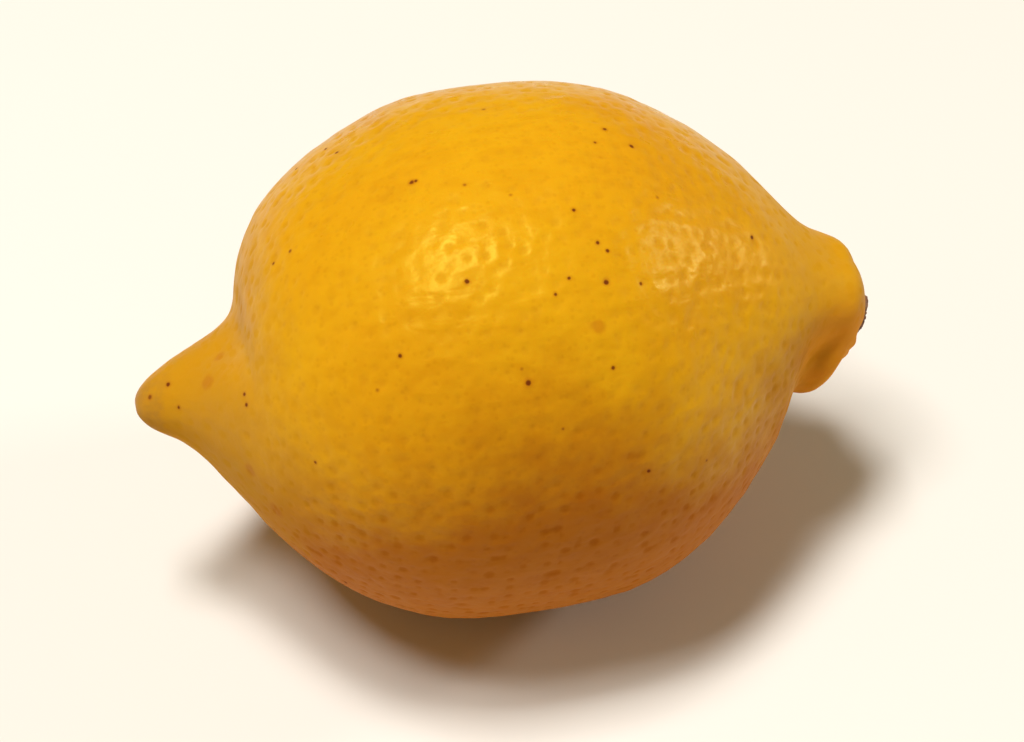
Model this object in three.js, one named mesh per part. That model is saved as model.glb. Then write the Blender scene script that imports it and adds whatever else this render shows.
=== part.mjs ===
// A ripe lemon lying on its side, with the dried button of its stalk in the end of the neck.
// Millimetres. +X runs along the fruit to its stem end, +Y away from the viewer and +Z up.
// The origin lies on the resting surface, under the middle of the fruit's outline.

import * as THREE from 'three'

const { degToRad, euclideanModulo, lerp, radToDeg, smoothstep } = THREE.MathUtils

// Body: the swollen middle of the fruit, round about the X axis and widest at girthX
const girthRadius = 32.2
const girthX = -1.8

// The crown is the side of the fruit that faces up and back, where its shoulders are fullest.
// Sizes ending in Lean are added on the crown and taken off on the side opposite it.
const crownAngle = degToRad(45)

// How the girth closes towards each end: over a reach, as (1 - (distance / reach) ^ power) ^ slack.
// A low slack makes a full shoulder with a steep wall, a high one a long slope.
const nippleCrown = { reach: 31.1, power: 2.14, slack: 0.44 }
const nippleUnder = { reach: 41.4, power: 3.06, slack: 1.44 }
const stemCrown = { reach: 40.4, power: 2.88, slack: 0.95 }
const stemSide = { reach: 48, power: 2.5, slack: 2 }
const stemUnder = { reach: 40.8, power: 2.77, slack: 1.04 }
const shoulderFrom = -0.2
const shoulderTo = 1

// Nipple: the pointed blossom end, a blunt tip that rises a little to the crown and flares into the body
const tipX = -46.5
const tipGauge = 4.3
const tipGaugeAt = 4
const tipBluntness = 0.49
const tipFlare = 0.021
const tipRise = 0.4
const riseFrom = -24
const nippleFadeFrom = -34
const nippleFadeTo = -12

// Skirt: the nipple's root widens into the steep shoulder of the crown
const skirtX = -32.2
const skirtWidth = 3.7
const skirtLength = 1.65

// Where nipple or neck meets the body, a higher power leaves a sharper crease
const nippleCrease = 2.1
const neckCreaseCrown = 2.9
const neckCreaseUnder = 4
const creaseBetween = 1.8

// Neck: the stem end, closed by a dome, with its under side cut back
const neckEndX = 42.7
const neckRadius = 9.8
const neckRadiusLean = -2.4
const neckTaper = 0.1
const neckTaperLean = 0.26
const domeDepth = 3.4
const domeDepthLean = -1
const domePower = 3.2
const neckFadeFrom = 32
const neckFadeTo = 12
const cutBackSlope = 0.4
const cutBackFrom = 28
const cutBackTo = 40

// Furrows run down the neck between its lobes: angle from +Z towards +Y, depth and half width
const furrows = [
  { angle: -82, depth: 1.5, width: 15 },
  { angle: -18, depth: 0.5, width: 13 },
  { angle: 55, depth: 0.7, width: 16 },
  { angle: 125, depth: 0.8, width: 15 },
  { angle: 200, depth: 0.6, width: 14 },
]
const furrowFrom = 28
const furrowTo = 36

// Lumps: slow swellings of the peel, waves round and along the fruit
const lumps = [
  { height: 0.16, round: 2, along: 0.05, phase: 0.7 },
  { height: 0.14, round: 3, along: -0.09, phase: 2.1 },
  { height: 0.1, round: 5, along: 0.13, phase: 4.0 },
]

// Seat: the flat at the end of the neck that carries the button, below the axis and tilted down
const seatDrop = 2.6
const seatX = 42.4
const seatTilt = degToRad(21)
const seatRadius = 3.1
const seatRim = 4.4
const seatEdge = 5.2
const dropFadeTo = 10

// Stem button: a five-lobed woody disc that stands a little off its seat
const buttonRadius = 2.5
const buttonThickness = 1.3
const buttonLobes = 5
const buttonLobeDepth = 0.16
const buttonDimple = 0.78
const buttonGap = 0.3
const buttonColumns = 40

// The fruit has settled by this much on the flat spot it rests on
const restPress = 0.9

const skinRows = 58
const skinColumns = 72
const endCrowding = 0.075
const profileSamples = 2000
const tolerance = 1e-6
const fullTurn = 2 * Math.PI

function ease(value, from, to) {
  return smoothstep((value - from) / (to - from), 0, 1)
}

function bell(offset, width) {
  return Math.exp(-((offset / width) ** 2))
}

function lean(angle) {
  return Math.cos(angle - crownAngle)
}

// From the value on the sides to the one on the crown or on the under side
function bySide(between, under, crown, angle) {
  return lerp(between, lean(angle) > 0 ? crown : under, lean(angle) ** 2)
}

function closing(distance, { reach, power, slack }) {
  return Math.max(0, 1 - (distance / reach) ** power) ** slack
}

// How far the angle is turned to the crown, for the steep shoulder of the nipple end
function shoulder(angle) {
  return ease(lean(angle), shoulderFrom, shoulderTo)
}

// Share of the girth that is left at x: the closings of the different sides, mixed round the fruit
function bodyShare(x, angle) {
  const distance = Math.abs(x - girthX)
  if (x < girthX) {
    return lerp(closing(distance, nippleUnder), closing(distance, nippleCrown), shoulder(angle))
  }
  return bySide(closing(distance, stemSide), closing(distance, stemUnder), closing(distance, stemCrown), angle)
}

function nippleRadius(x, angle) {
  const along = Math.max(0, x - tipX)
  const skirt = skirtWidth * shoulder(angle) * Math.exp(Math.min(0, x - skirtX) / skirtLength)
  const radius = tipGauge * (along / tipGaugeAt) ** tipBluntness + tipFlare * along + skirt
  return radius * (1 - ease(x, nippleFadeFrom, nippleFadeTo))
}

function neckRadiusAt(x, angle) {
  const along = Math.max(0, neckEndX - x)
  const depth = domeDepth + domeDepthLean * lean(angle)
  const open = 1 - Math.max(0, 1 - along / depth) ** domePower
  const taper = (neckTaper + neckTaperLean * lean(angle)) * along
  let radius = (neckRadius + neckRadiusLean * lean(angle) + taper) * open ** (1 / domePower)
  for (const furrow of furrows) {
    const turn = radToDeg(angle) - furrow.angle
    const offset = euclideanModulo(turn + 180, 360) - 180
    radius -= furrow.depth * bell(offset, furrow.width) * open * ease(x, furrowFrom, furrowTo)
  }
  return Math.max(0, radius) * ease(x, neckFadeTo, neckFadeFrom)
}

function lumpHeight(x, angle) {
  return lumps.reduce(
    (sum, lump) => sum + lump.height * Math.cos(lump.round * angle + lump.along * x + lump.phase), 0)
}

// Distance of the skin from the X axis: body and end joined by a power sum, then the lumps
function skinRadius(x, angle) {
  const atNipple = x < girthX
  const underCrease = atNipple ? nippleCrease : neckCreaseUnder
  const crownCrease = atNipple ? nippleCrease : neckCreaseCrown
  const crease = bySide(creaseBetween, underCrease, crownCrease, angle)
  const end = atNipple ? nippleRadius(x, angle) : neckRadiusAt(x, angle)
  const share = bodyShare(x, angle)
  return ((girthRadius * share) ** crease + end ** crease) ** (1 / crease) + lumpHeight(x, angle) * share
}

// Point of the skin: the radius turned about X, with the tip's rise, the cut back end and the seat
function skinPoint(x, angle) {
  const radius = skinRadius(x, angle)
  const atEnd = ease(x, cutBackFrom, cutBackTo)
  const cutBack = cutBackSlope * (1 - lean(angle)) / 2 * radius * lean(angle) * atEnd
  const drop = seatDrop * atEnd * (1 - ease(radius, seatRim, dropFadeTo))
  const rise = tipRise * ease(x, riseFrom, tipX) - drop
  const crownward = radius * lean(angle) + rise
  const seat = seatX + (crownward + seatDrop) * Math.tan(seatTilt)
  const flatness = atEnd * (1 - ease(radius, seatRadius, seatRim))
  return new THREE.Vector3(
    lerp(x + cutBack, seat, flatness),
    radius * Math.sin(angle) + rise * Math.sin(crownAngle),
    radius * Math.cos(angle) + rise * Math.cos(crownAngle))
}

// x at which the dome of the neck has narrowed to a radius
function domeStation(radius) {
  let near = neckEndX - domeDepth
  let far = neckEndX
  while (far - near > tolerance) {
    const middle = (near + far) / 2
    if (skinRadius(middle, crownAngle + Math.PI / 2) > radius) near = middle
    else far = middle
  }
  return near
}

// Rows from tip to seat, at even steps along the profile that shorten towards both ends
function rowStations() {
  const last = domeStation(seatEdge)
  const profile = Array.from({ length: profileSamples + 1 }, (_, step) => {
    const x = lerp(tipX, last, (1 - Math.cos(Math.PI * step / profileSamples)) / 2)
    return new THREE.Vector2(x, step === 0 ? 0 : skinRadius(x, crownAngle + Math.PI / 2))
  })
  const lengths = [0]
  for (let step = 1; step <= profileSamples; step++) {
    lengths.push(lengths[step - 1] + profile[step].distanceTo(profile[step - 1]))
  }
  const stations = []
  for (let row = 1; row <= skinRows; row++) {
    const share = row / skinRows
    const wanted = lengths[profileSamples] * (share - endCrowding * Math.sin(fullTurn * share))
    const above = Math.max(1, lengths.findIndex((length) => length >= wanted - tolerance))
    const part = (wanted - lengths[above - 1]) / (lengths[above] - lengths[above - 1])
    stations.push(lerp(profile[above - 1].x, profile[above].x, part))
  }
  return [...stations, ...[seatRim, seatRadius, seatRadius / 2].map(domeStation)]
}

// Closed skin over rows of points between two poles. Seen from the last pole, a row runs clockwise.
function closedSkin(firstPole, rows, lastPole) {
  const columns = rows[0].length
  const points = [firstPole, ...rows.flat(), lastPole]
  const at = (row, column) => 1 + row * columns + (column % columns)
  const faces = []
  for (let column = 0; column < columns; column++) {
    faces.push(0, at(0, column), at(0, column + 1))
    for (let row = 0; row + 1 < rows.length; row++) {
      faces.push(at(row, column), at(row + 1, column), at(row + 1, column + 1))
      faces.push(at(row, column), at(row + 1, column + 1), at(row, column + 1))
    }
    faces.push(at(rows.length - 1, column), points.length - 1, at(rows.length - 1, column + 1))
  }
  const geometry = new THREE.BufferGeometry().setFromPoints(points)
  geometry.setIndex(faces)
  geometry.computeVertexNormals()
  return geometry
}

function roundOfAngles(count) {
  return Array.from({ length: count }, (_, column) => fullTurn * column / count)
}

// The whole fruit: the skin, pressed flat where it rests
function lemonGeometry() {
  const rows = rowStations().map((x) => roundOfAngles(skinColumns).map((angle) => skinPoint(x, angle)))
  const restHeight = Math.min(...rows.flat().map((point) => point.z)) + restPress
  for (const point of rows.flat()) point.z = Math.max(point.z, restHeight)
  return closedSkin(skinPoint(tipX, 0), rows, skinPoint(neckEndX, 0))
}

// The button about its own Z axis, from its flat underside up over the rim to a dimpled top
function buttonGeometry() {
  const profile = [
    { reach: 0.5, height: 0 },
    { reach: 0.9, height: 0 },
    { reach: 1, height: 0.3 },
    { reach: 1, height: 0.65 },
    { reach: 0.86, height: 0.92 },
    { reach: 0.6, height: 1 },
    { reach: 0.34, height: 0.9 },
  ]
  const rows = profile.map(({ reach, height }) => roundOfAngles(buttonColumns).map((angle) => {
    const radius = (buttonRadius + buttonLobeDepth * Math.cos(buttonLobes * angle)) * reach
    return new THREE.Vector3(radius * Math.sin(angle), radius * Math.cos(angle), height * buttonThickness)
  }))
  const dimple = new THREE.Vector3(0, 0, buttonDimple * buttonThickness)
  return closedSkin(new THREE.Vector3(0, 0, 0), rows, dimple)
}

function lemon() {
  const peel = new THREE.MeshStandardMaterial({ color: 0xf0b21c, roughness: 0.42, metalness: 0 })
  const mesh = new THREE.Mesh(lemonGeometry(), peel)
  mesh.name = 'lemon'
  return mesh
}

function stemButton() {
  const bark = new THREE.MeshStandardMaterial({ color: 0x6b4a30, roughness: 0.85, metalness: 0 })
  const mesh = new THREE.Mesh(buttonGeometry(), bark)
  mesh.name = 'stem_button'
  const crownDirection = new THREE.Vector3(0, Math.sin(crownAngle), Math.cos(crownAngle))
  const outward = new THREE.Vector3(Math.cos(seatTilt), 0, 0)
  outward.addScaledVector(crownDirection, -Math.sin(seatTilt))
  mesh.quaternion.setFromUnitVectors(new THREE.Vector3(0, 0, 1), outward)
  mesh.position.set(seatX, 0, 0)
  mesh.position.addScaledVector(crownDirection, -seatDrop).addScaledVector(outward, buttonGap)
  return mesh
}

const fruit = new THREE.Group()
fruit.add(lemon(), stemButton())

// Put the flat spot on Z = 0 and the middle of the outline over the origin
const outline = new THREE.Box3().setFromObject(fruit, true)
const middle = outline.getCenter(new THREE.Vector3())
fruit.position.set(-middle.x, -middle.y, -outline.min.z)

const group = new THREE.Group()
group.add(fruit)

export default group
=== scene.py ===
"""A ripe lemon on its side: pitted waxy peel, pointed nipple, furrowed neck and dried stem button.

Shapes are worked out in millimetres about the fruit's own axis, which runs along X from the nipple to the
stem end, and are then moved to the place that the frame gives, in metres. An angle round the axis runs from
+Z towards +Y.
"""

import bpy
import numpy as np
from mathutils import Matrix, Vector


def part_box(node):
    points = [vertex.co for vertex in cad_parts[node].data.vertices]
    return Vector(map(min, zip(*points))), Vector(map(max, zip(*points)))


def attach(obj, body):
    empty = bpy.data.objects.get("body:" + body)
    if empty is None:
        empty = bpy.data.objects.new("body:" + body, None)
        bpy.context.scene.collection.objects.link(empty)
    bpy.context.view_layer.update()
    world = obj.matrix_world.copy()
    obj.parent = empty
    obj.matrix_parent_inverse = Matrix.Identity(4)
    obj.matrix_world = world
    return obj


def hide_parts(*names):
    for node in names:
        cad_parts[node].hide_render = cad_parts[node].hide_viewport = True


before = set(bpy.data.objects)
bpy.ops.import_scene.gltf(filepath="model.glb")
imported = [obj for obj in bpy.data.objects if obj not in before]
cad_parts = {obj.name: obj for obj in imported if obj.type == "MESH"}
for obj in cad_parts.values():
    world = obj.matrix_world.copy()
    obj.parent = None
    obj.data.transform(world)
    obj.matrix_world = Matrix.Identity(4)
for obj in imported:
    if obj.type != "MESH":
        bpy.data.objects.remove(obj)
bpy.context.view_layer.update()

MM = 0.001
FULL_TURN = 2 * np.pi
FAR = 1e6
TINY = 1e-12

# Body: the swollen middle of the fruit, widest at GIRTH_X
GIRTH_RADIUS = 32.2
GIRTH_X = -1.8

# The crown is the side that faces up and back, where the shoulders are fullest
CROWN_ANGLE = np.radians(45)
CROWN_SIDE = np.array([0.0, np.sin(CROWN_ANGLE), np.cos(CROWN_ANGLE)])

# How the girth closes towards each end: (reach, power, slack)
NIPPLE_CROWN = (31.1, 2.14, 0.44)
NIPPLE_UNDER = (41.4, 3.06, 1.44)
STEM_CROWN = (40.4, 2.88, 0.95)
STEM_SIDE = (48.0, 2.5, 2.0)
STEM_UNDER = (40.8, 2.77, 1.04)
SHOULDER_FROM, SHOULDER_TO = -0.2, 1.0

# Nipple: a blunt tip that flares into the body, with a skirt under the crown's shoulder
TIP_X = -46.5
TIP_GAUGE = 4.3
TIP_GAUGE_AT = 4.0
TIP_BLUNTNESS = 0.49
TIP_FLARE = 0.021
TIP_RISE = 0.4
RISE_FROM = -24.0
NIPPLE_FADE_FROM, NIPPLE_FADE_TO = -34.0, -12.0
SKIRT_X = -32.2
SKIRT_WIDTH = 3.7
SKIRT_LENGTH = 1.65
NIPPLE_CREASE = 2.1

# Neck: closed by a dome, with its under side cut back
NECK_END_X = 42.7
NECK_RADIUS, NECK_RADIUS_LEAN = 9.8, -2.4
NECK_TAPER, NECK_TAPER_LEAN = 0.1, 0.26
NECK_CREASE_CROWN, NECK_CREASE_UNDER = 2.9, 4.0
CREASE_BETWEEN = 1.8
DOME_DEPTH, DOME_DEPTH_LEAN = 3.4, -1.0
DOME_POWER = 3.2
NECK_FADE_FROM, NECK_FADE_TO = 12.0, 32.0
CUT_BACK_SLOPE = 0.4
CUT_BACK_FROM, CUT_BACK_TO = 28.0, 40.0

# Furrows down the neck: angle in degrees, depth, half width in degrees
FURROWS = [(-82, 1.5, 15), (-18, 0.5, 13), (55, 0.7, 16), (125, 0.8, 15), (200, 0.6, 14)]
FURROW_FROM, FURROW_TO = 28.0, 36.0

# Lumps: slow waves of the peel round and along the fruit: height, waves round, waves along, phase
LUMPS = [(0.16, 2, 0.05, 0.7), (0.14, 3, -0.09, 2.1), (0.1, 5, 0.13, 4.0)]

# Seat of the button, below the axis and tilted down
SEAT_DROP = 2.6
SEAT_X = 42.4
SEAT_TILT = np.radians(21)
SEAT_RADIUS = 3.1
SEAT_RIM = 4.4
DROP_FADE_TO = 10.0
SEAT_MIDDLE = np.array([SEAT_X, 0.0, 0.0]) - CROWN_SIDE * SEAT_DROP

# How deep the fruit is pressed flat where it rests
REST_PRESS = 0.9

# Fineness of the skin's mesh and of the profile that its rows are spaced by
SKIN_ROWS = 256
SKIN_COLUMNS = 384
PROFILE_SAMPLES = 4001
PROFILE_SIDES = 16

# The crease under the shoulder is rounded between these places along the axis
CREASE_FROM, CREASE_TO = (-42, -38), (-27, -20)
CREASE_PASSES = 10

# Oil glands: rings of pits, each at its own place in its cell and with its own share of the width and depth
GLAND_SEED = 11
GLAND_PITCH = 2.05
GLAND_WIDTH = 0.66
GLAND_DEPTH = 0.145
GLAND_FEWEST = 3
GLAND_ACROSS = (0.25, 0.75)
GLAND_ALONG = (0.22, 0.78)
GLAND_WIDTHS = (0.75, 1.25)
GLAND_DEPTHS = (0.45, 1.0)
GLAND_OVERLAP = 1.2

# Pits are shallower towards the nipple and the neck, and fade out at the poles and on the button's seat
NIPPLE_SHALLOW_FROM, NIPPLE_SHALLOW_TO = -36, -25
NECK_SHALLOW_FROM, NECK_SHALLOW_TO = 25, 36
SHALLOW_SHARE = 0.3
POLE_FADE_FROM, POLE_FADE_TO = 1.2, 3.0
SEAT_FADE_FROM, SEAT_FADE_TO = 38, 41
SEAT_CALM_FROM, SEAT_CALM_TO = 4.6, 7.0

# Uneven skin between the glands: height, then seed, shortest and longest wave, number of waves
SKIN_WAVES = [(0.06, 21, 5.0, 12.0, 28), (0.032, 22, 2.6, 4.2, 40)]

# Small folds round the button, unevenly spaced, and the dimple in the tip
FOLD_HEIGHT = 0.17
FOLD_COUNT = 13
FOLD_WANDER, FOLD_WANDER_COUNT = 2.2, 3
FOLD_RADIUS, FOLD_WIDTH = 5.6, 1.6
TIP_DIMPLE = 0.12
TIP_DIMPLE_RADIUS = 0.7

# How much the skin of both ends counts as facing up, so that the painted shade of the under side is weaker
# towards the ends
END_SHADE_EASING = 0.42


def ease(value, low, high):
    """Smooth step from 0 at low to 1 at high: 3t^2 - 2t^3."""
    share = np.clip((value - low) / (high - low), 0, 1)
    return share * share * (3 - 2 * share)


def mix(low, high, share):
    """The value a share of the way from low to high: low + (high - low) * share."""
    return low + (high - low) * share


def bell(distance, width):
    """Bell curve of a distance: exp(-(distance / width) ^ 2)."""
    return np.exp(-((distance / width) ** 2))


def closing(distance, reach, power, slack):
    """Share of the girth left at a distance from its widest: (1 - (distance / reach) ^ power) ^ slack."""
    return np.clip(1 - (np.clip(distance, 0, None) / reach) ** power, 0, None) ** slack


def body_share(x, lean):
    """Share of the girth at x, closing differently on the crown, on the sides and on the under side.
    The lean is 1 on the crown and -1 opposite it."""
    beyond = x - GIRTH_X
    shoulder = ease(lean, SHOULDER_FROM, SHOULDER_TO)
    nipple_share = mix(closing(-beyond, *NIPPLE_UNDER), closing(-beyond, *NIPPLE_CROWN), shoulder)
    stem_share = np.where(lean > 0, closing(beyond, *STEM_CROWN), closing(beyond, *STEM_UNDER))
    stem_share = mix(closing(beyond, *STEM_SIDE), stem_share, lean ** 2)
    return np.where(beyond < 0, nipple_share, stem_share)


def nipple_radius(x, lean):
    """Radius of the nipple: gauge * along ^ bluntness, plus a straight flare and a skirt that fades towards
    the tip, exp(-distance / length)."""
    along = np.clip(x - TIP_X, 0, None)
    shoulder = ease(lean, SHOULDER_FROM, SHOULDER_TO)
    skirt = SKIRT_WIDTH * shoulder * np.exp(np.clip(x - SKIRT_X, None, 0) / SKIRT_LENGTH)
    nipple = TIP_GAUGE * (along / TIP_GAUGE_AT) ** TIP_BLUNTNESS + TIP_FLARE * along + skirt
    return nipple * (1 - ease(x, NIPPLE_FADE_FROM, NIPPLE_FADE_TO))


def neck_radius(x, angle, lean):
    """Radius of the neck: a cone closed by a dome, (1 - (1 - along / depth) ^ power) ^ (1 / power), less a
    bell for each furrow."""
    along = np.clip(NECK_END_X - x, 0, None)
    opening = 1 - np.clip(1 - along / (DOME_DEPTH + DOME_DEPTH_LEAN * lean), 0, None) ** DOME_POWER
    gauge = NECK_RADIUS + NECK_RADIUS_LEAN * lean + (NECK_TAPER + NECK_TAPER_LEAN * lean) * along
    neck = gauge * opening ** (1 / DOME_POWER)
    for furrow, depth, width in FURROWS:
        offset = (np.degrees(angle) - furrow + 180) % 360 - 180
        neck = neck - depth * bell(offset, width) * opening * ease(x, FURROW_FROM, FURROW_TO)
    return np.clip(neck, 0, None) * ease(x, NECK_FADE_FROM, NECK_FADE_TO)


def skin_radius(x, angle):
    """Distance of the skin from the axis: body and end joined by a power sum, then the lumps."""
    lean = np.cos(angle - CROWN_ANGLE)
    share = body_share(x, lean)
    nipple_side = x < GIRTH_X
    end = np.where(nipple_side, nipple_radius(x, lean), neck_radius(x, angle, lean))
    neck_crease = np.where(lean > 0, NECK_CREASE_CROWN, NECK_CREASE_UNDER)
    crease = mix(CREASE_BETWEEN, np.where(nipple_side, NIPPLE_CREASE, neck_crease), lean ** 2)
    lumps = sum(
        height * np.cos(waves_round * angle + waves_along * x + phase)
        for height, waves_round, waves_along, phase in LUMPS)
    return ((GIRTH_RADIUS * share) ** crease + end ** crease) ** (1 / crease) + lumps * share


def skin_points(x, angle):
    """Points of the skin and their distances from the axis: the radius turned about the axis, with the end
    cut back on the under side and flattened into the button's tilted seat."""
    radius = skin_radius(x, angle)
    lean = np.cos(angle - CROWN_ANGLE)
    at_end = ease(x, CUT_BACK_FROM, CUT_BACK_TO)
    cut_back = CUT_BACK_SLOPE * (1 - lean) / 2 * radius * lean * at_end
    drop = SEAT_DROP * at_end * (1 - ease(radius, SEAT_RIM, DROP_FADE_TO))
    rise = TIP_RISE * ease(x, RISE_FROM, TIP_X) - drop
    crownward = radius * lean + rise
    seat = SEAT_X + (crownward + SEAT_DROP) * np.tan(SEAT_TILT)
    flatness = at_end * (1 - ease(radius, SEAT_RADIUS, SEAT_RIM))
    points = np.stack([
        mix(x + cut_back, seat, flatness),
        radius * np.sin(angle) + rise * np.sin(CROWN_ANGLE),
        radius * np.cos(angle) + rise * np.cos(CROWN_ANGLE)], axis=-1)
    return points, radius


def skin_stations(rows):
    """Stations along the axis at even steps of the skin's length, and those lengths. The length is that of
    the profile, the sum of sqrt(dx^2 + dr^2), averaged over several sides of the fruit."""
    turn = np.linspace(0, np.pi, PROFILE_SAMPLES)[:, None]
    x = mix(TIP_X, NECK_END_X, (1 - np.cos(turn)) / 2)
    radius = skin_radius(x, np.linspace(0, FULL_TURN, PROFILE_SIDES, endpoint=False))
    radius[[0, -1]] = 0
    steps = np.hypot(np.diff(x, axis=0), np.diff(radius, axis=0)).mean(axis=1)
    lengths = np.concatenate([[0], np.cumsum(steps)])
    wanted = np.linspace(0, lengths[-1], rows + 2)
    return np.interp(wanted, lengths, x[:, 0]), wanted


def round_crease(points, stations):
    """Rounds the crease between nipple and shoulder, in the points themselves: each ring is averaged with its
    neighbours, (1, 2, 1) / 4, several times over."""
    share = ease(stations, *CREASE_FROM) * (1 - ease(stations, *CREASE_TO))
    for _ in range(CREASE_PASSES):
        average = (points[:-2] + 2 * points[1:-1] + points[2:]) / 4
        points[1:-1] = mix(points[1:-1], average, share[1:-1, :, None])


def grid_normals(points):
    """Outward unit normals of a grid whose rows follow the axis and whose columns run round it."""
    along = np.gradient(points, axis=0)
    around = np.roll(points, -1, axis=1) - np.roll(points, 1, axis=1)
    normals = np.cross(along, around)
    return normals / np.maximum(np.linalg.norm(normals, axis=-1, keepdims=True), TINY)


def gland_pits(length, radius, angle):
    """Oil glands as soft pits on rings round the fruit. Each ring is cut into as many cells as its girth
    holds, each cell has one gland at a random place in it, and a gland is a flat bell,
    exp(-(distance / width) ^ 3). Gives the sum of the bells near each point."""
    random = np.random.default_rng(GLAND_SEED)
    rings = int(np.ceil(length[-1] / GLAND_PITCH)) + 1
    ring_radius = np.interp((np.arange(rings) + 0.5) * GLAND_PITCH, length, radius.mean(axis=1))
    cells = np.maximum(GLAND_FEWEST, np.round(FULL_TURN * ring_radius / GLAND_PITCH)).astype(int)
    scatter = random.random((rings, cells.max(), 4))
    phase = random.random(rings)
    pits = np.zeros_like(radius)
    home = np.floor(length / GLAND_PITCH).astype(int)
    for ring_step in (-1, 0, 1):
        ring = np.clip(home + ring_step, 0, rings - 1)
        on_fruit = (ring == home + ring_step)[:, None]
        count = cells[ring][:, None]
        turn = angle / FULL_TURN * count + phase[ring][:, None]
        for cell_step in (-1, 0, 1):
            cell = np.floor(turn).astype(int) + cell_step
            own = scatter[ring[:, None], cell % count]
            across = (cell + mix(*GLAND_ACROSS, own[..., 0]) - turn) * FULL_TURN * radius / count
            along = length[:, None] - (ring[:, None] + mix(*GLAND_ALONG, own[..., 1])) * GLAND_PITCH
            width = GLAND_WIDTH * mix(*GLAND_WIDTHS, own[..., 2])
            pit = np.exp(-(np.hypot(across, along) / width) ** 3)
            pits += pit * mix(*GLAND_DEPTHS, own[..., 3]) * on_fruit
    return pits


def ripples(points, seed, shortest, longest, waves):
    """Sum of plane sine waves in random directions, scaled to about -1 to 1."""
    random = np.random.default_rng(seed)
    directions = random.normal(size=(waves, 3))
    directions /= np.linalg.norm(directions, axis=1, keepdims=True)
    lengths = random.uniform(shortest, longest, waves)
    phases = random.uniform(0, FULL_TURN, waves)
    total = np.zeros(points.shape[:-1])
    for direction, length, phase in zip(directions, lengths, phases):
        total += np.sin(points @ direction * (FULL_TURN / length) + phase)
    return total / np.sqrt(waves / 2) / 2


def with_poles(first, rows, last):
    """Values of a closed mesh in the order of its points: first pole, every row, last pole."""
    return np.concatenate([[first], rows.reshape(-1, *rows.shape[2:]), [last]])


def add_object(name, data):
    """New object of a mesh, a camera or a light, at the origin of the scene."""
    thing = bpy.data.objects.new(name, data)
    bpy.context.scene.collection.objects.link(thing)
    return thing


def closed_mesh(name, first_pole, rows, last_pole):
    """Mesh of a closed grid: a fan of triangles at each pole, two triangles for each cell between."""
    row_count, columns = rows.shape[:2]
    points = with_poles(first_pole, rows, last_pole)
    index = 1 + np.arange(row_count * columns).reshape(row_count, columns)
    beside = np.roll(index, -1, axis=1)
    last = np.full(columns, len(points) - 1)
    faces = np.concatenate([
        np.stack([np.zeros(columns, int), index[0], beside[0]], -1),
        np.stack([index[:-1], index[1:], beside[1:]], -1).reshape(-1, 3),
        np.stack([index[:-1], beside[1:], beside[:-1]], -1).reshape(-1, 3),
        np.stack([index[-1], last, beside[-1]], -1)])
    mesh = bpy.data.meshes.new(name)
    mesh.from_pydata(points.tolist(), [], faces.tolist())
    mesh.polygons.foreach_set("use_smooth", np.ones(len(faces), bool))
    mesh.update()
    return add_object(name, mesh)


def point_attribute(piece, name, values):
    """Stores one number or one vector for each point of the mesh."""
    values = np.asarray(values, np.float32)
    vector = values.ndim == 2
    attribute = piece.data.attributes.new(name, "FLOAT_VECTOR" if vector else "FLOAT", "POINT")
    attribute.data.foreach_set("vector" if vector else "value", values.ravel())


# Camera: the photograph's viewing angle in degrees, distance in millimetres, lens and shift in pixels
AZIMUTH = -13.3
ELEVATION = 45.0
DISTANCE = 300.0
FRAME_WIDTH, FRAME_HEIGHT = 1024, 742
FOCAL_PIXELS = 2460.0
SHIFT_RIGHT, SHIFT_DOWN = 3.8, -24.6
SENSOR_WIDTH = 36.0
NEAREST_SEEN = 0.01


def camera_axes():
    """Unit vectors to the right, up and back towards the camera."""
    turn, rise = np.radians(AZIMUTH), np.radians(ELEVATION)
    right = np.array([np.cos(turn), np.sin(turn), 0.0])
    back = np.array([np.sin(turn) * np.cos(rise), -np.cos(turn) * np.cos(rise), np.sin(rise)])
    return right, np.cross(back, right), back


def photo_pixels(points):
    """Pixels of the photograph's frame at which points about the fruit's axis appear: the frame's middle,
    plus shift, plus focal length * offset / depth."""
    right, up, back = camera_axes()
    from_camera = points - back * DISTANCE
    depth = -(from_camera @ back)
    across = FRAME_WIDTH / 2 + SHIFT_RIGHT + FOCAL_PIXELS * (from_camera @ right) / depth
    down = FRAME_HEIGHT / 2 + SHIFT_DOWN - FOCAL_PIXELS * (from_camera @ up) / depth
    return np.stack([across, down], -1)


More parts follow.
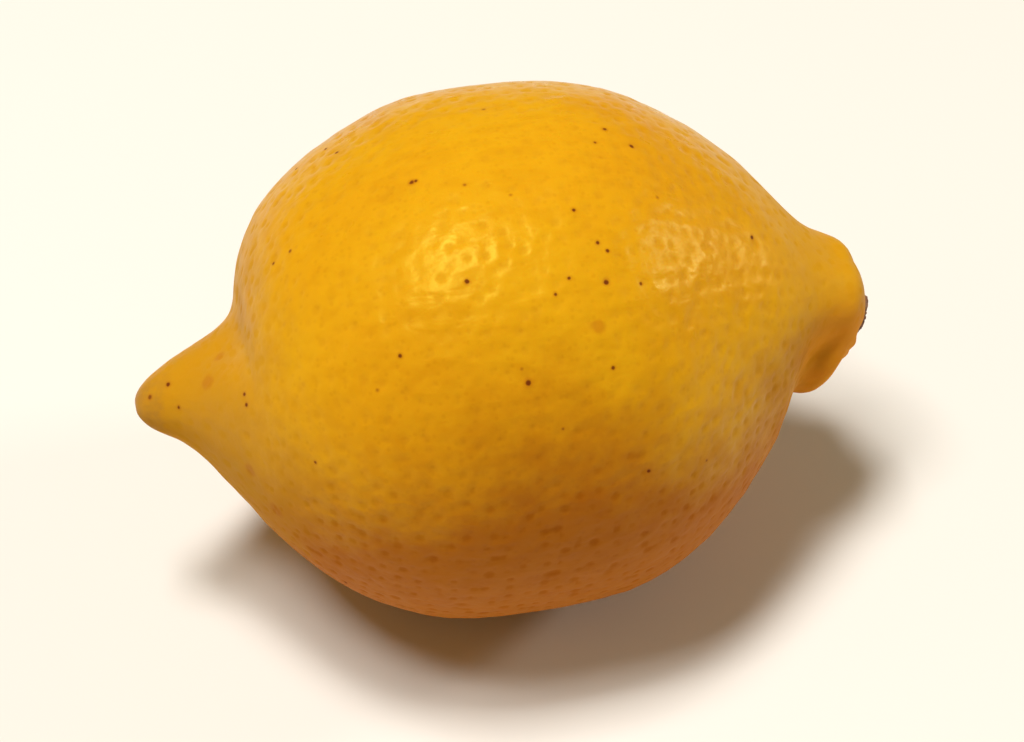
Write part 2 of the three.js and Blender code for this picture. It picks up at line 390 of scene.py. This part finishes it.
# Dark specks of the peel: pixel of the photograph, radius in millimetres, darkness
SPECKS = [
    ((530, 383), 0.34, 1.0), ((605, 285), 0.3, 1.0), ((411, 183), 0.32, 1.0), ((416, 180), 0.2, 0.85),
    ((604, 129), 0.28, 1.0), ((467, 281), 0.26, 0.95), ((573, 209), 0.24, 0.9), ((596, 244), 0.22, 0.9),
    ((607, 249), 0.2, 0.85), ((571, 278), 0.22, 0.9), ((556, 293), 0.2, 0.85), ((641, 283), 0.2, 0.75),
    ((633, 146), 0.24, 0.9), ((596, 141), 0.18, 0.75), ((751, 237), 0.26, 0.95), ((400, 355), 0.24, 0.85),
    ((613, 366), 0.2, 0.8), ((648, 470), 0.24, 0.9), ((707, 462), 0.18, 0.7), ((315, 464), 0.2, 0.8),
    ((562, 430), 0.16, 0.6), ((167, 385), 0.26, 0.95), ((178, 408), 0.24, 0.9), ((151, 397), 0.24, 0.7),
    ((245, 394), 0.24, 0.9), ((246, 404), 0.26, 0.95), ((272, 263), 0.2, 0.8), ((289, 251), 0.18, 0.7),
    ((338, 152), 0.24, 0.9), ((327, 148), 0.2, 0.85), ((297, 168), 0.18, 0.7), ((484, 110), 0.2, 0.6),
    ((466, 185), 0.18, 0.6), ((509, 195), 0.16, 0.5), ((657, 198), 0.16, 0.55), ((522, 367), 0.14, 0.5),
    ((377, 392), 0.16, 0.55), ((347, 583), 0.24, 0.9), ((598, 328), 0.45, 0.22), ((209, 382), 0.55, 0.26),
    ((219, 357), 0.4, 0.2), ((251, 470), 0.5, 0.3), ((276, 510), 0.6, 0.22),
]

# Random specks where the photograph sees nothing
HIDDEN_SEED = 5
HIDDEN_SPECKS = 70
HIDDEN_WITHIN = 45
HIDDEN_RADII = (0.14, 0.32)
HIDDEN_TONES = (0.5, 1.0)

# Specks of one layer keep clear of each other, so that each point of the mesh belongs to one speck of it.
# The mark ends at its reach, in speck radii but at least so many millimetres, and is faded out beyond.
SPECK_LAYERS = 3
SPECK_CLEARANCE = 3.6
SPECK_REACH, SPECK_LEAST_REACH = 2.2, 1.1
BEYOND_MOST, BEYOND_GAIN = 2, 4


def speck_places(points, normals):
    """Places, radii and darkness of the specks: those the photograph shows, each at the point of the facing
    skin that appears nearest to its pixel, and random ones where the photograph sees nothing."""
    camera = camera_axes()[2] * DISTANCE
    facing = np.einsum("ij,ij->i", normals, camera - points) > 0
    pixels = photo_pixels(points)
    places, radii, tones = [], [], []
    for pixel, radius, tone in SPECKS:
        miss = np.hypot(*(pixels - pixel).T) + np.where(facing, 0, FAR)
        places.append(points[miss.argmin()])
        radii.append(radius)
        tones.append(tone)
    random = np.random.default_rng(HIDDEN_SEED)
    hidden = np.flatnonzero(~facing & (np.abs(points[:, 0]) < HIDDEN_WITHIN))
    girth = np.hypot(points[hidden, 1], points[hidden, 2])
    for index in random.choice(hidden, HIDDEN_SPECKS, replace=False, p=girth / girth.sum()):
        places.append(points[index])
        radii.append(random.uniform(*HIDDEN_RADII))
        tones.append(random.uniform(*HIDDEN_TONES))
    return np.array(places), np.array(radii), np.array(tones)


def speck_layers(places):
    """Puts each speck in the first layer where no other is near, so that close pairs stay apart."""
    layers = [[] for _ in range(SPECK_LAYERS)]
    for index, place in enumerate(places):
        room = [layer for layer in layers
                if not layer or np.linalg.norm(places[layer] - place, axis=1).min() > SPECK_CLEARANCE]
        (room or layers[-1:])[0].append(index)
    return layers


def store_specks(piece, points, normals):
    """For each point and layer: the way from the nearest speck in speck radii, how far beyond its reach the
    point is, and the speck's darkness. A shader turns them into marks much finer than the mesh."""
    places, radii, tones = speck_places(points, normals)
    for number, layer in enumerate(speck_layers(places)):
        nearest = np.full(len(points), FAR)
        owner = np.zeros(len(points), int)
        for index in layer:
            away = np.linalg.norm(points - places[index], axis=1)
            closer = away < nearest
            nearest[closer] = away[closer]
            owner[closer] = index
        radius = radii[owner]
        reach = np.maximum(SPECK_LEAST_REACH, SPECK_REACH * radius)
        beyond = np.clip(nearest - reach, 0, BEYOND_MOST) * BEYOND_GAIN
        point_attribute(piece, f"speck_way_{number}", (points - places[owner]) / radius[:, None])
        point_attribute(piece, f"speck_beyond_{number}", beyond)
        point_attribute(piece, f"speck_tone_{number}", tones[owner])


def skin_relief(points, length, radius, stations, angles):
    """Height of the skin's relief and the pits in it: waves, less the depth of the pits, plus folds round the
    button, cos(count * angle + wander) * bell(radius)."""
    at_seat = ease(stations, SEAT_FADE_FROM, SEAT_FADE_TO)
    on_seat = at_seat * (1 - ease(radius, SEAT_CALM_FROM, SEAT_CALM_TO))
    open_skin = ease(radius, POLE_FADE_FROM, POLE_FADE_TO) * (1 - on_seat)
    at_nipple = 1 - ease(stations, NIPPLE_SHALLOW_FROM, NIPPLE_SHALLOW_TO)
    at_neck = ease(stations, NECK_SHALLOW_FROM, NECK_SHALLOW_TO)
    depth = GLAND_DEPTH * mix(1, SHALLOW_SHARE, np.maximum(at_nipple, at_neck))

    waves = sum(height * ripples(points, *settings) for height, *settings in SKIN_WAVES)
    pits = np.clip(gland_pits(length, radius, angles[0]), 0, GLAND_OVERLAP) * open_skin
    folds = np.cos(FOLD_COUNT * angles + FOLD_WANDER * np.sin(FOLD_WANDER_COUNT * angles))
    folds = FOLD_HEIGHT * folds * bell(radius - FOLD_RADIUS, FOLD_WIDTH) * at_seat
    return waves * open_skin - depth * pits + folds, pits


def build_peel():
    """Skin of the whole fruit: the formula's surface with its crease rounded, raised along its normals by the
    relief, with a dimple in the tip, then pressed flat where it rests. Its points also hold how deep they lie
    in a gland, and how far they face up or to an end, normal's Z + END_SHADE_EASING * |normal's X|, which
    masks the painted shade on the under side."""
    x, length = skin_stations(SKIN_ROWS)
    angle = np.linspace(0, FULL_TURN, SKIN_COLUMNS, endpoint=False)
    stations, angles = np.meshgrid(x, angle, indexing="ij")
    points, radius = skin_points(stations, angles)
    radius[[0, -1]] = 0
    round_crease(points, stations)
    normals = grid_normals(points)
    height, pits = skin_relief(points, length, radius, stations, angles)
    points = points + normals * height[..., None]
    points[..., 0] += TIP_DIMPLE * bell(radius, TIP_DIMPLE_RADIUS) * (stations < GIRTH_X)
    rest = points[..., 2].min() + REST_PRESS
    points[..., 2] = np.maximum(points[..., 2], rest)

    low, high = (np.array(corner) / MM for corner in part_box("lemon"))
    middle = (points[..., 1].min() + points[..., 1].max()) / 2
    shift = np.array([low[0] - TIP_X, (low[1] + high[1]) / 2 - middle, -rest])
    placed = (points + shift) * MM
    piece = closed_mesh("peel", placed[0, 0], placed[1:-1], placed[-1, 0])

    skin = with_poles(points[0, 0], points[1:-1], points[-1, 0])
    outward = with_poles([-1, 0, 0], normals[1:-1], [1, 0, 0])
    point_attribute(piece, "gland", with_poles(0, pits[1:-1], 0))
    # How far the skin faces up; where it faces down, this masks the painted shade of the under side
    point_attribute(piece, "upward", outward[:, 2] + END_SHADE_EASING * np.abs(outward[:, 0]))
    store_specks(piece, skin, outward)
    return piece, shift


# Button: a five-lobed disc that stands a little off its seat
BUTTON_RADIUS = 2.5
BUTTON_THICKNESS = 1.3
BUTTON_GAP = 0.3
BUTTON_LOBES = 5
BUTTON_LOBE_DEPTH = 0.16
BUTTON_RINGS, BUTTON_COLUMNS = 54, 200

# Its profile from the middle of the foot, over the rim, to the sunk scar: way along it, share of the radius,
# share of the thickness
BUTTON_PROFILE = [
    (0.0, 0.04, -0.3), (0.16, 0.92, -0.3), (0.24, 1.0, -0.12), (0.36, 1.03, 0.5), (0.5, 0.97, 0.86),
    (0.64, 0.76, 0.98), (0.78, 0.5, 1.0), (0.9, 0.3, 0.8), (1.0, 0.03, 0.7)]

# Ragged rim and fibres: stretch of their ripples round, across and along the profile; seed, shortest and
# longest wave, number of waves
RAGGED_STRETCH = (6, 6, 0)
RAGGED_WAVES = (31, 0.9, 3.0, 16)
RAGGED_SHARE = 0.03
RAGGED_FROM, RAGGED_TO = 0.5, 1.0
FIBRE_STRETCH = (14, 14, 3)
FIBRE_WAVES = (32, 1.2, 3.0, 24)
FIBRE_HEIGHT = 0.09
TOP_FROM, TOP_TO = 0.42, 0.5
SCAR_FROM, SCAR_TO = 0.05, 0.4


def build_button(shift):
    """Dried button: a profile turned about its own axis, with the radius lobed, radius + depth * cos(lobes *
    angle), a sunk scar, a ragged rim and radial fibres on top, then tilted onto its seat."""
    way = np.linspace(0, 1, BUTTON_RINGS)[:, None]
    angle = np.linspace(0, FULL_TURN, BUTTON_COLUMNS, endpoint=False)[None, :]
    way_at, reach_at, height_at = np.array(BUTTON_PROFILE).T
    reach = np.interp(way, way_at, reach_at)
    place = np.stack(np.broadcast_arrays(np.cos(angle), np.sin(angle), way), -1)
    ragged = ripples(place * RAGGED_STRETCH, *RAGGED_WAVES) * ease(reach, RAGGED_FROM, RAGGED_TO)
    outline = BUTTON_RADIUS + BUTTON_LOBE_DEPTH * np.cos(BUTTON_LOBES * angle)
    radius = outline * reach * (1 + RAGGED_SHARE * ragged)
    on_top = ease(way, TOP_FROM, TOP_TO) * ease(reach, SCAR_FROM, SCAR_TO)
    fibres = ripples(place * FIBRE_STRETCH, *FIBRE_WAVES) * on_top
    height = np.interp(way, way_at, height_at) * BUTTON_THICKNESS + FIBRE_HEIGHT * fibres
    points = np.stack([radius * np.sin(angle), radius * np.cos(angle), height], -1)

    outward = np.array([np.cos(SEAT_TILT), 0, 0]) - CROWN_SIDE * np.sin(SEAT_TILT)
    turn = Vector((0, 0, 1)).rotation_difference(Vector(outward)).to_matrix()
    foot = SEAT_MIDDLE + outward * BUTTON_GAP
    points = (points @ np.array(turn).T + foot + shift) * MM
    piece = closed_mesh("stem_scar", points[0].mean(axis=0), points, points[-1].mean(axis=0))
    point_attribute(piece, "fibre", with_poles(0, fibres, 0))
    return piece


def feed(tree, node, inputs):
    """Gives each named input of a node a value or another node's socket."""
    for key, value in inputs.items():
        if isinstance(value, bpy.types.NodeSocket):
            tree.links.new(value, node.inputs[key])
        else:
            node.inputs[key].default_value = value


def add(tree, kind, inputs, **settings):
    """One shader node: its settings first, then its inputs."""
    node = tree.nodes.new("ShaderNode" + kind)
    for name, value in settings.items():
        setattr(node, name, value)
    feed(tree, node, inputs)
    return node.outputs


def maths(tree, operation, first, second):
    """Two values put together by one of the Math node's operations."""
    return add(tree, "Math", {0: first, 1: second}, operation=operation)[0]


def times(tree, first, second):
    """first * second."""
    return maths(tree, "MULTIPLY", first, second)


def plus(tree, total, *others):
    """Sum of all the values."""
    for other in others:
        total = maths(tree, "ADD", total, other)
    return total


def uneven(tree, value, width):
    """A value of 0 to 1 brought about zero: (value - 0.5) * width."""
    return times(tree, maths(tree, "SUBTRACT", value, 0.5), width)


def remap(tree, value, start, end, before=0.0, after=1.0):
    """Eases from one strength at the start to another at the end, and holds them beyond."""
    inputs = {"Value": value, "From Min": start, "From Max": end, "To Min": before, "To Max": after}
    return add(tree, "MapRange", inputs, interpolation_type="SMOOTHSTEP")[0]


def tint(tree, share, first, second, blend="MIX"):
    """The first colour, changed towards the second, or multiplied by it, by a share."""
    return add(tree, "Mix", {0: share, 6: first, 7: second}, data_type="RGBA", blend_type=blend)[2]


def noise(tree, place, scale, detail=2.0, roughness=0.5, distortion=0.0):
    """Cloudy noise of 0 to 1, with so many clouds to the metre."""
    look = {"Scale": scale, "Detail": detail, "Roughness": roughness, "Distortion": distortion}
    return add(tree, "TexNoise", {"Vector": place, **look})[0]


def attribute(tree, name, output="Fac"):
    """What the mesh holds under a name for each of its points."""
    return add(tree, "Attribute", {}, attribute_name=name)[output]


def new_group(name, inputs, outputs):
    """Empty shader node group and its two ends. Inputs are (name, type, value), outputs are names."""
    tree = bpy.data.node_groups.new(name, "ShaderNodeTree")
    for label, kind, value in inputs:
        socket = tree.interface.new_socket(label, in_out="INPUT", socket_type="NodeSocket" + kind)
        if value is not None:
            socket.default_value = value
    for label in outputs:
        tree.interface.new_socket(label, in_out="OUTPUT", socket_type="NodeSocketFloat")
    return tree, tree.nodes.new("NodeGroupInput").outputs, tree.nodes.new("NodeGroupOutput")


# Ramps of both groups: a ramp is (start, end) or (start, end, strength before, strength after)
PATCH_RAMP = (0.35, 0.65)
CLOUD_RAMP = (0.3, 0.7)
CORE_RAMP = (1.25, 0.55)
STAIN_RAMP = (2.4, 0.9)
TONE_RAMP = (0.3, 0.9)
RAGGED_EDGE = 1.6


def mottling_group():
    """Uneven ripening: a broad soft mask and a finer cloudy one, from the place on the object."""
    inputs = [("Place", "Vector", None), ("Patch Scale", "Float", 40.0), ("Cloud Scale", "Float", 160.0)]
    tree, given, end = new_group("mottling", inputs, ["Patches", "Clouds"])
    patches = noise(tree, given["Place"], given["Patch Scale"], roughness=0.45, distortion=0.3)
    clouds = noise(tree, given["Place"], given["Cloud Scale"], detail=4.0, roughness=0.6)
    feed(tree, end, {
        "Patches": remap(tree, patches, *PATCH_RAMP),
        "Clouds": remap(tree, clouds, *CLOUD_RAMP)})
    return tree


def speck_group():
    """One layer of specks, by the way from the nearest speck in its radii, made ragged: a core as dark as the
    speck's tone asks, and stained peel round it."""
    inputs = [
        ("Way", "Vector", None), ("Beyond", "Float", 0.0),
        ("Tone", "Float", 1.0), ("Ragged", "Float", 0.5)]
    tree, given, end = new_group("speck", inputs, ["Core", "Stain"])
    length = add(tree, "VectorMath", {0: given["Way"]}, operation="LENGTH")["Value"]
    away = plus(tree, length, given["Beyond"], uneven(tree, given["Ragged"], RAGGED_EDGE))
    feed(tree, end, {
        "Core": times(tree, remap(tree, away, *CORE_RAMP), remap(tree, given["Tone"], *TONE_RAMP)),
        "Stain": remap(tree, away, *STAIN_RAMP)})
    return tree


def new_material(name):
    """Material with its tree, its Principled shader and the object's own coordinates."""
    material = bpy.data.materials.new(name)
    material.use_nodes = True
    tree = material.node_tree
    return material, tree, tree.nodes["Principled BSDF"], add(tree, "TexCoord", {})["Object"]


def bumped(tree, height, strength, distance):
    """Normal of a surface with a fine height on it."""
    return add(tree, "Bump", {"Height": height, "Strength": strength, "Distance": distance})["Normal"]


# Colours of the peel; the pits' painted shade and the streaks' tint are multiplied into what lies under them
PEEL_BRIGHT = (0.73, 0.355, 0.006, 1)
PEEL_DEEP = (0.71, 0.315, 0.006, 1)
# Painted shade: deeper, darker orange where the peel faces down
PAINTED_UNDER_SHADE = (0.46, 0.13, 0.003, 1)
PEEL_GREENISH = (0.65, 0.325, 0.006, 1)
# Painted shade in the pits of the glands and in the sunk middles of the fine cells
PIT_PAINTED_SHADE = (0.74, 0.58, 0.5, 1)
STREAK_SHADE = (0.84, 0.72, 0.6, 1)
NECK_OCHRE = (0.62, 0.275, 0.006, 1)
# Painted shade: deeper orange on the neck's under side
NECK_UNDER_SHADE = (0.70, 0.25, 0.014, 1)
NIPPLE_OCHRE = (0.57, 0.255, 0.008, 1)
TIP_BROWN = (0.36, 0.16, 0.03, 1)
SEAT_BROWN = (0.27, 0.14, 0.03, 1)
SPECK_STAIN = (0.42, 0.085, 0.006, 1)
SPECK_CORE = (0.15, 0.016, 0.003, 1)
STAIN_SHARE, CORE_SHARE = 0.36, 0.94

# Ramps of the peel's colours. The last six go by metres along the axis, towards the crown or from the seat.
UNDER_RAMP = (0.75, 0.05)
GREENISH_RAMP = (0.5, 0.75, 0.0, 0.45)
GLAND_RAMP = (0.3, 0.9)
GLAND_UNDER_RAMP = (0.0, 1.0, 0.2, 0.45)
STREAK_RAMP = (0.4, 0.7, 0.0, 0.3)
CELL_RAMP = (0.36, 0.08, 0.0, 0.2)
NECK_OCHRE_RAMP = (0.024, 0.040, 0.0, 0.7)
NECK_UNDER_SHADE_RAMP = (0.030, 0.038, 0.0, 0.9)
NECK_SHADE_SIDE_RAMP = (0.002, -0.008)
NIPPLE_OCHRE_RAMP = (-0.026, -0.038, 0.0, 0.9)
TIP_BROWN_RAMP = (-0.0425, -0.0466, 0.0, 0.65)
SEAT_BROWN_RAMP = (0.0052, 0.0028, 0.0, 0.85)

# How widely the clouds shift those places, in metres, and how much more that changes the facing up
WANDER = 0.003
UPWARD_WANDER = 50.0

# Roughness of the wax and what is added to it
WAX_RAMP = (0.3, 0.7, 0.27, 0.36)
GLAND_DULL_RAMP = (0.3, 0.8, 0.0, 0.24)
NECK_DULL_RAMP = (0.024, 0.036, 0.0, 0.24)
NIPPLE_DULL_RAMP = (-0.022, -0.033, 0.0, 0.16)
SPECK_DULL = 0.3
UNDER_DULL = 0.32

# Fine relief, as shares of the bump's distance
GRAIN_HEIGHT = 0.6
WRINKLE_HEIGHT = 1.8
SPECK_HEIGHT = -0.3
CELL_HEIGHT_RAMP = (0.05, 0.55, 0.0, 0.25)

# Fine cells between the glands, and wrinkles and streaks drawn out along the axis
CELL_PATTERN = {"Scale": 950.0, "Randomness": 0.85}
DRAWN_OUT = (0.45, 1.0, 1.0)


def peel_readings(tree, place, clouds, shift):
    """What the peel's looks go by: metres along the axis and from the button's seat, both shifted by the
    clouds, metres towards the crown, how far the peel faces down, the depth in a gland, the distance from the
    middle of a fine cell, and the place drawn out along the axis."""
    wander = uneven(tree, clouds, WANDER)
    axis = add(tree, "Mapping", {"Vector": place, "Location": [-part * MM for part in shift]})[0]
    split = add(tree, "SeparateXYZ", {0: axis})
    from_seat = add(tree, "VectorMath", {0: axis, 1: SEAT_MIDDLE * MM}, operation="DISTANCE")["Value"]
    upward = plus(tree, attribute(tree, "upward"), times(tree, wander, UPWARD_WANDER))
    return {
        "along": plus(tree, split["X"], wander),
        "from_seat": plus(tree, from_seat, wander),
        "crownward": plus(tree, split["Y"], split["Z"]),
        "under": remap(tree, upward, *UNDER_RAMP),
        "gland": attribute(tree, "gland"),
        "cell": add(tree, "TexVoronoi", {"Vector": place, **CELL_PATTERN})["Distance"],
        "drawn": add(tree, "Mapping", {"Vector": place, "Scale": DRAWN_OUT})[0]}


def peel_colour(tree, place, patches, at):
    """Mottled yellow, greenish here and there, and painted shade of deeper orange on the under side; painted
    shade in the pits of the glands, more on the under side, and in the sunk middles of the fine cells; darker
    in faint streaks; ochre on the neck with painted shade on its under side, ochre on the nipple, brown at
    the tip and round the button."""
    colour = tint(tree, patches, PEEL_BRIGHT, PEEL_DEEP)
    green = noise(tree, place, scale=24.0, detail=1.0)
    colour = tint(tree, remap(tree, green, *GREENISH_RAMP), colour, PEEL_GREENISH)
    # Painted shade on the under side
    colour = tint(tree, at["under"], colour, PAINTED_UNDER_SHADE)

    # Painted shade in the pits, stronger on the under side
    pitted = times(tree, remap(tree, at["gland"], *GLAND_RAMP), remap(tree, at["under"], *GLAND_UNDER_RAMP))
    colour = tint(tree, pitted, colour, PIT_PAINTED_SHADE, "MULTIPLY")
    streaks = noise(tree, at["drawn"], scale=560.0)
    colour = tint(tree, remap(tree, streaks, *STREAK_RAMP), colour, STREAK_SHADE, "MULTIPLY")
    # Painted shade in the sunk middles of the fine cells
    colour = tint(tree, remap(tree, at["cell"], *CELL_RAMP), colour, PIT_PAINTED_SHADE, "MULTIPLY")

    colour = tint(tree, remap(tree, at["along"], *NECK_OCHRE_RAMP), colour, NECK_OCHRE)
    # Painted shade on the neck's under side, away from the crown
    neck_shade_side = remap(tree, at["crownward"], *NECK_SHADE_SIDE_RAMP)
    neck_shade = times(tree, remap(tree, at["along"], *NECK_UNDER_SHADE_RAMP), neck_shade_side)
    colour = tint(tree, neck_shade, colour, NECK_UNDER_SHADE)
    colour = tint(tree, remap(tree, at["along"], *NIPPLE_OCHRE_RAMP), colour, NIPPLE_OCHRE)
    colour = tint(tree, remap(tree, at["along"], *TIP_BROWN_RAMP), colour, TIP_BROWN)
    return tint(tree, remap(tree, at["from_seat"], *SEAT_BROWN_RAMP), colour, SEAT_BROWN)


def specked(tree, speck, place, colour):
    """A colour with the specks of every layer on it, and the mask of their cores."""
    ragged = noise(tree, place, scale=900.0, detail=3.0, roughness=0.6)
    cores = 0.0
    for number in range(SPECK_LAYERS):
        marks = add(tree, "Group", {
            "Way": attribute(tree, f"speck_way_{number}", "Vector"),
            "Beyond": attribute(tree, f"speck_beyond_{number}"),
            "Tone": attribute(tree, f"speck_tone_{number}"),
            "Ragged": ragged}, node_tree=speck)
        colour = tint(tree, times(tree, marks["Stain"], STAIN_SHARE), colour, SPECK_STAIN)
        colour = tint(tree, times(tree, marks["Core"], CORE_SHARE), colour, SPECK_CORE)
        cores = maths(tree, "MAXIMUM", cores, marks["Core"])
    return colour, cores


def peel_roughness(tree, place, at, cores):
    """Satin wax, duller in the glands, on the specks, on the under side and towards both ends."""
    wax = remap(tree, noise(tree, place, scale=320.0, detail=3.0), *WAX_RAMP)
    return plus(
        tree, wax,
        remap(tree, at["gland"], *GLAND_DULL_RAMP),
        times(tree, cores, SPECK_DULL),
        times(tree, at["under"], UNDER_DULL),
        remap(tree, at["along"], *NECK_DULL_RAMP),
        remap(tree, at["along"], *NIPPLE_DULL_RAMP))


def peel_height(tree, place, at, cores):
    """Relief finer than the mesh: grain, fine cells with sunk middles, wrinkles and slightly sunk specks."""
    grain = noise(tree, place, scale=1100.0, detail=3.0)
    wrinkles = noise(tree, at["drawn"], scale=420.0, roughness=0.45, distortion=0.8)
    return plus(
        tree, times(tree, grain, GRAIN_HEIGHT),
        remap(tree, at["cell"], *CELL_HEIGHT_RAMP),
        times(tree, cores, SPECK_HEIGHT),
        times(tree, wrinkles, WRINKLE_HEIGHT))


def peel_material(mottling, speck, shift):
    """Waxy peel: colour with specks, satin gloss and fine relief, a little light passing through it."""
    material, tree, shader, place = new_material("waxy_peel")
    scales = {"Patch Scale": 42.0, "Cloud Scale": 230.0}
    ripening = add(tree, "Group", {"Place": place, **scales}, node_tree=mottling)
    at = peel_readings(tree, place, ripening["Clouds"], shift)
    colour, cores = specked(tree, speck, place, peel_colour(tree, place, ripening["Patches"], at))
    feed(tree, shader, {
        "Base Color": colour,
        "Roughness": peel_roughness(tree, place, at, cores),
        "Normal": bumped(tree, peel_height(tree, place, at, cores), strength=0.5, distance=0.00011),
        "Subsurface Weight": 0.16,
        "Subsurface Radius": (1.0, 0.42, 0.06),
        "Subsurface Scale": 0.0022,
        "Specular IOR Level": 0.22,
        "Specular Tint": (0.85, 0.90, 0.12, 1)})
    return material


BUTTON_BARK = (0.28, 0.12, 0.062, 1)
BUTTON_PALE = (0.38, 0.22, 0.12, 1)
# Dark brown both for grime and for the painted shade in the grooves between the fibres
BUTTON_GRIME_AND_GROOVE_SHADE = (0.07, 0.028, 0.015, 1)
WEATHERED_SHARE, GRIMY_SHARE = 0.7, 0.35
GROOVE_SHADE_RAMP = (0.1, -0.7)
BARK_DULL_RAMP = (0.0, 1.0, 0.68, 0.92)


def button_material(mottling):
    """Dead woody tissue: brown, paler where weathered, with painted shade in the grooves between the fibres,
    and darker in grimy clouds.
    """
    material, tree, shader, place = new_material("dry_bark")
    scales = {"Patch Scale": 700.0, "Cloud Scale": 2600.0}
    weather = add(tree, "Group", {"Place": place, **scales}, node_tree=mottling)
    colour = tint(tree, times(tree, weather["Patches"], WEATHERED_SHARE), BUTTON_BARK, BUTTON_PALE)
    # Painted shade in the grooves between the raised fibres
    colour = tint(tree, remap(tree, attribute(tree, "fibre"), *GROOVE_SHADE_RAMP), colour, BUTTON_GRIME_AND_GROOVE_SHADE)
    colour = tint(tree, times(tree, weather["Clouds"], GRIMY_SHARE), colour, BUTTON_GRIME_AND_GROOVE_SHADE)
    feed(tree, shader, {
        "Base Color": colour,
        "Roughness": remap(tree, weather["Clouds"], *BARK_DULL_RAMP),
        "Normal": bumped(tree, weather["Clouds"], strength=0.6, distance=0.0001)})
    return material


FLOOR_HALF = 3.0
FLOOR_DEEP = (0.85, 0.81, 0.75, 1)
FLOOR_PALE = (0.87, 0.83, 0.77, 1)


def floor_material():
    """Plain pale tabletop with a very faint cloudiness."""
    material, tree, shader, place = new_material("pale_floor")
    faint = noise(tree, place, scale=6.0)
    feed(tree, shader, {
        "Base Color": tint(tree, faint, FLOOR_DEEP, FLOOR_PALE),
        "Roughness": 0.75,
        "Specular IOR Level": 0.2})
    return material


def build_floor():
    """Plain floor under the fruit, far wider than the view."""
    corners = [(x, y, 0) for x, y in ((-1, -1), (1, -1), (1, 1), (-1, 1))]
    mesh = bpy.data.meshes.new("floor")
    mesh.from_pydata((np.array(corners) * FLOOR_HALF).tolist(), [], [(0, 1, 2, 3)])
    floor = add_object("floor", mesh)
    floor.data.materials.append(floor_material())


def turn_against(direction):
    """Turn of a camera or a light that looks against a direction and keeps its top up."""
    return Vector(direction).to_track_quat("Z", "Y").to_euler()


def add_camera(shift):
    """Camera at the photograph's angle, aimed at the middle of the fruit's axis."""
    back = camera_axes()[2]
    data = bpy.data.cameras.new("camera")
    data.sensor_fit = "HORIZONTAL"
    data.sensor_width = SENSOR_WIDTH
    data.lens = FOCAL_PIXELS / FRAME_WIDTH * SENSOR_WIDTH
    data.shift_x = -SHIFT_RIGHT / FRAME_WIDTH
    data.shift_y = SHIFT_DOWN / FRAME_WIDTH
    data.clip_start = NEAREST_SEEN
    camera = add_object("camera", data)
    camera.location = (shift + back * DISTANCE) * MM
    camera.rotation_euler = turn_against(back)
    bpy.context.scene.camera = camera


# Two keys nearly overhead, a light low from the right and a faint warm one from the left: name, direction in
# the camera's right, up and back, distance and size in metres, watts, colour
LIGHTS = [
    ("key_light", (-0.144, 0.70, 0.72), 1.2, 0.27, 10.0, (1.0, 1.0, 0.99)),
    ("second_key", (-0.30, 0.52, 0.80), 1.2, 0.27, 5.6, (1.0, 1.0, 0.99)),
    ("side_light", (0.884, 0.459, 0.095), 1.3, 0.22, 3.8, (1.0, 0.97, 0.90)),
    ("left_light", (-0.93, 0.15, 0.33), 1.3, 0.4, 0.7, (1.0, 0.84, 0.50)),
]
FILL_COLOUR = (1.0, 0.84, 0.40, 1)
FILL_STRENGTH = 0.14


def add_light(name, direction, shift, distance, size, watts, colour):
    """Square soft light aimed at the fruit."""
    toward = np.array(direction) @ np.stack(camera_axes())
    toward = toward / np.linalg.norm(toward)
    data = bpy.data.lights.new(name, "AREA")
    data.shape = "SQUARE"
    data.size = size
    data.energy = watts
    data.color = colour
    light = add_object(name, data)
    light.location = shift * MM + toward * distance
    light.rotation_euler = turn_against(toward)


def light_scene(shift):
    """The lights, and an even warm fill from all round."""
    for name, direction, *settings in LIGHTS:
        add_light(name, direction, shift, *settings)
    world = bpy.data.worlds.new("studio")
    world.use_nodes = True
    fill = {"Color": FILL_COLOUR, "Strength": FILL_STRENGTH}
    feed(world.node_tree, world.node_tree.nodes["Background"], fill)
    bpy.context.scene.world = world


def set_view():
    """Shows the colours as they are."""
    view = bpy.context.scene.view_settings
    view.view_transform = "Standard"
    view.look = "None"
    view.exposure = 0.0


mottling = mottling_group()
speck = speck_group()

peel, fruit_shift = build_peel()
peel.data.materials.append(peel_material(mottling, speck, fruit_shift))
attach(peel, "root")
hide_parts("lemon")

stem_scar = build_button(fruit_shift)
stem_scar.data.materials.append(button_material(mottling))
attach(stem_scar, "root")
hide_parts("stem_button")

build_floor()
add_camera(fruit_shift)
light_scene(fruit_shift)
set_view()
